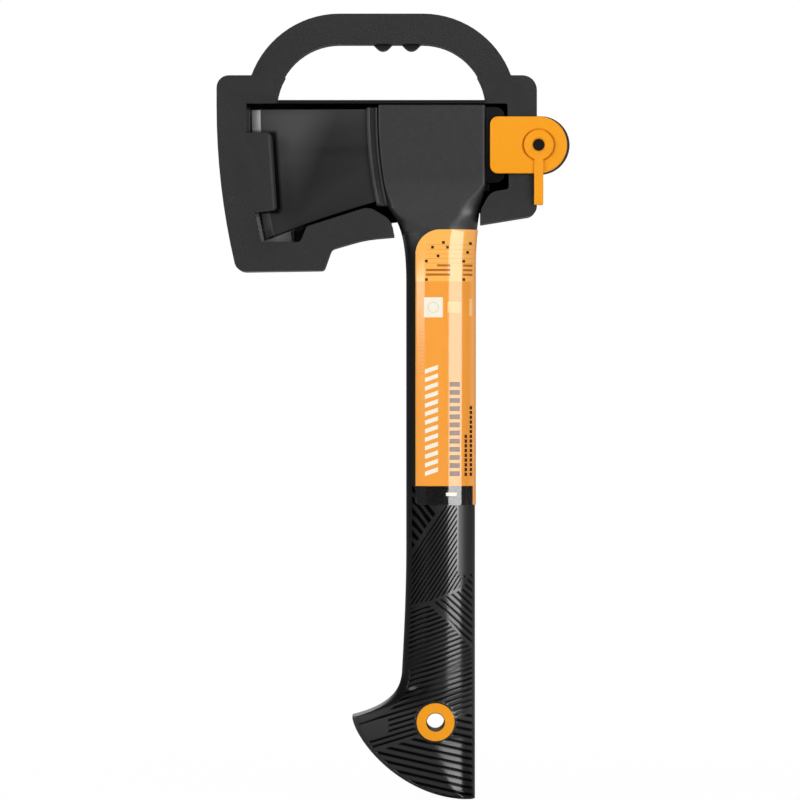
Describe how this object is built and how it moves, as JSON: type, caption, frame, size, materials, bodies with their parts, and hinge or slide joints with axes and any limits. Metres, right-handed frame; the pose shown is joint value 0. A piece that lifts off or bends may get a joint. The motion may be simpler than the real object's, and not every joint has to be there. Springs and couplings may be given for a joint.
{
  "type": "felling axe",
  "caption": "One-handed chopping axe with a hollow composite handle, locked in a moulded carry sheath with a loop handle and a turning latch.",
  "frame": {"origin": "on the sheath's flat back, on the handle's centre line and level with the latch pivot", "axes": "+Z from the butt to the head, +Y from the front to the back of the sheath, +X from the cutting edge to the poll"},
  "size_m": [0.1782, 0.0309, 0.3964],
  "materials": {
    "coated_steel": "satin black coating, ground bevel left bare",
    "handle_composite": "matte, ribbed on the grip",
    "orange_plastic": "satin orange",
    "label_film": "glossy printed film",
    "sheath_plastic": "fine matte texture"
  },
  "bodies": {
    "sheathed_axe": {"axe_head": "coated_steel", "handle": "handle_composite", "eyelet_front": "orange_plastic", "eyelet_back": "orange_plastic", "label_sleeve": "label_film", "sheath_body": "sheath_plastic"},
    "latch": {"latch_plate": "orange_plastic", "latch_lever": "orange_plastic", "latch_retainer": "sheath_plastic"}
  },
  "joints": [
    {"name": "latch_turn", "type": "hinge", "parent": "sheathed_axe", "child": "latch", "pos_m": [0.0493, -0.0265, 0], "axis": [0, -1, 0], "range_deg": [0, 170]}
  ]
}
